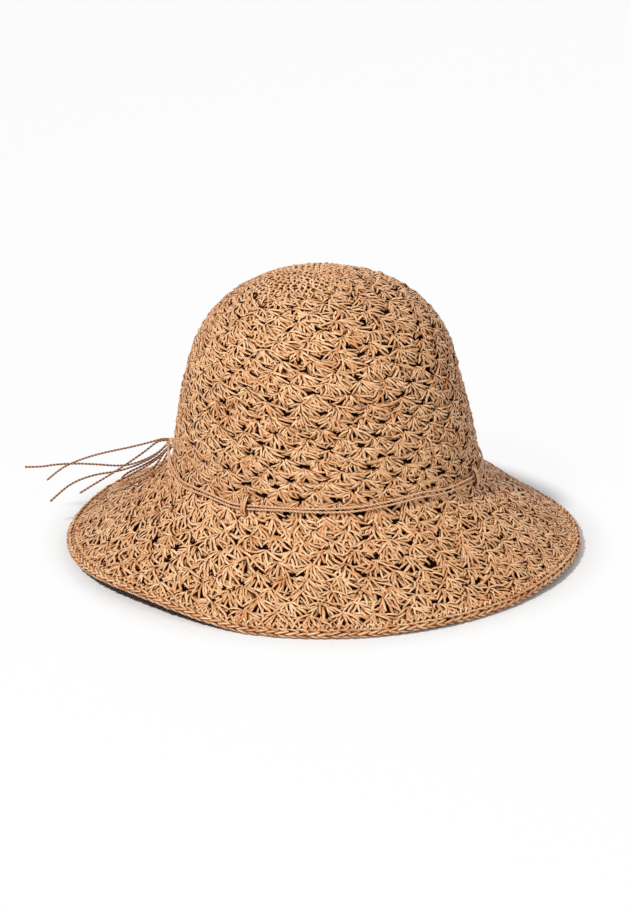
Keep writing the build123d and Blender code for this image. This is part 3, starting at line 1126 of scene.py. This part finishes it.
def edging_links(middle, spread, link_length, width, depth):
    """Chain of V stitches along the edging: each arm runs in from one side to the middle."""
    count = round(2 * pi * edging_ring / link_length)
    step = 2 * pi * edging_ring / count
    t = np.linspace(0, 1, 7)
    starts = np.arange(count)[:, None] * step
    arms = []
    for side in (-1, 1):
        wobble = stray(1, (4, count, 1))
        run = starts + step * (-0.10 + 1.25 * t) + 0.00030 * wobble[0]
        tilt = middle + side * spread * (1.02 - t) ** 0.8 + edging_tilt_scatter * wobble[1]
        lift = depth + 0.00100 * hump(t, 0.10, 0.80, 0.8) + 0.00015 * wobble[2]
        widths = width * hump(t, 0.14, 0.72, 0.7) * (1 + 0.08 * wobble[3])
        arms.append(strand_mesh(on_edging(run, tilt, lift), off_edging(run, tilt), widths))
    return joined(arms)


def edging_slants(middle, spread, link_length, width, depth):
    """Rope line along the edging: short strands that slant across it."""
    count = round(2 * pi * edging_ring / link_length)
    step = 2 * pi * edging_ring / count
    t = np.linspace(0, 1, 6)
    wobble = stray(1, (3, count, 1))
    run = (np.arange(count)[:, None] + 0.5) * step + step * (-0.70 + 1.40 * t)
    run += 0.00025 * wobble[0]
    tilt = middle + spread * (1 - 2 * t) + edging_tilt_scatter * wobble[1]
    lift = depth + 0.00040 * hump(t, power=0.7)
    widths = width * (0.45 + 0.55 * hump(t, power=0.7)) * (1 + 0.08 * wobble[2])
    return strand_mesh(on_edging(run, tilt, lift), off_edging(run, tilt), widths)


# The edging's core is a near-black tube under its stitches: painted shade in the gaps between
# them.
core_turns = 260
core_gap = 0.0010
core_run = np.linspace(0, 2 * pi * edging_ring, core_turns)[None, :]
core_path = on_edging(core_run, 0, -edging_radius)
core_widths = np.full((1, core_turns), 2 * edging_radius - core_gap)
core = strand_mesh(core_path, off_edging(core_run, 0), core_widths, thickness=1.0, sides=8)
piece_from("brim_edging_core", core, painted_shade_straw)
piece_from(
    "brim_edging_stitches",
    joined([edging_links(*edging_chain), *(edging_slants(*rope) for rope in edging_ropes)]),
    straw, "brim_edging",
)


# ---- Sweatband ----

ribbon_low, ribbon_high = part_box("sweatband")
ribbon_outer = float(ribbon_high[0])


def sweatband():
    """Ribbon that stands inside the crown, eased out to the fabric along its lower edge."""
    angle = np.arange(ribbon_columns) / ribbon_columns * 2 * pi
    bottom, top = ribbon_low[2], ribbon_high[2]
    inner = head_opening_radius
    outline = [
        (ribbon_outer, bottom), (inner + ribbon_thickness, bottom + ribbon_hem),
        (inner + ribbon_thickness, top), (inner, top),
        (inner, bottom + ribbon_hem), (ribbon_outer - ribbon_thickness, bottom),
    ]
    radius, level = np.array(outline).T[..., None]
    quads = ring_quads(0, len(outline) + 1, ribbon_columns) % (len(outline) * ribbon_columns)
    faces = quads[..., [0, 3, 2, 1]].reshape(-1, 4)
    strand = stacked(angle * inner, level, 0).reshape(-1, 3)
    return round_axis(radius, angle, level).reshape(-1, 3), faces, strand


ribbon = piece_from("sweatband_ribbon", sweatband(), ribbon_weave, "sweatband", slot="ribbon")
stitches = bpy.data.objects["sweatband_stitches"]
stitches.data.materials.clear()
stitches.data.materials.append(thread_fibre)


# ---- Light, floor and backdrop ----

def soft_light(name, place, size, power):
    """Square area light that looks at the hat."""
    data = bpy.data.lights.new(name, "AREA")
    data.size = size
    data.energy = power
    aimed(placed(name, data), Vector(place), Vector((0, 0, light_aim_level)))


light_aim_level = 0.06
soft_light("key", (-0.9, -1.2, 1.6), 0.25, 41)
soft_light("fill", (1.4, -1.2, 0.9), 1.0, 10)
soft_light("back", (0.3, 1.6, 1.2), 1.0, 6)

world_level = 0.19
world = bpy.data.worlds.new("world")
bpy.context.scene.world = world
world.use_nodes = True
tree = world.node_tree
lighting = white_light(tree.nodes["Background"], world_level)
backdrop = white_light(tree.nodes.new("ShaderNodeBackground"), 1.0)
mixed_into(tree, seen_directly(tree), lighting, backdrop, "World Output")

# The floor takes the hat's shadow near it, and is seen as plain white further out.
floor_half_size = 4.0
floor_drop = 0.0004
floor_grey = 0.86
floor_white = 0.93
floor_white_start = 0.156
floor_white_end = 0.186
floor_mesh = bpy.data.meshes.new("floor")
floor_corners = floor_half_size * np.array([(-1, -1, 0), (1, -1, 0), (1, 1, 0), (-1, 1, 0)])
floor_mesh.from_pydata(floor_corners.tolist(), [], [(0, 1, 2, 3)])
floor = placed("floor", floor_mesh)
floor.location = (0, 0, -floor_drop)
floor_material, tree, shader = new_shader("floor", 0.9, 0.1)
shader.inputs["Base Color"].default_value = (floor_grey, floor_grey, floor_grey, 1)
distance = tree.nodes.new("ShaderNodeVectorMath")
distance.operation = "LENGTH"
tree.links.new(on_object(tree), distance.inputs[0])
spread = tree.nodes.new("ShaderNodeMapRange")
spread.interpolation_type = "SMOOTHSTEP"
spread.inputs["From Min"].default_value = floor_white_start
spread.inputs["From Max"].default_value = floor_white_end
spread.inputs["To Max"].default_value = floor_white
tree.links.new(distance.outputs["Value"], spread.inputs["Value"])
white_share = calculated(tree, "MULTIPLY", seen_directly(tree), spread.outputs["Result"])
glow = white_light(tree.nodes.new("ShaderNodeEmission"), 1.0)
mixed_into(tree, white_share, shader.outputs[0], glow, "Material Output")
floor_mesh.materials.append(floor_material)

bpy.context.scene.view_settings.view_transform = "Standard"
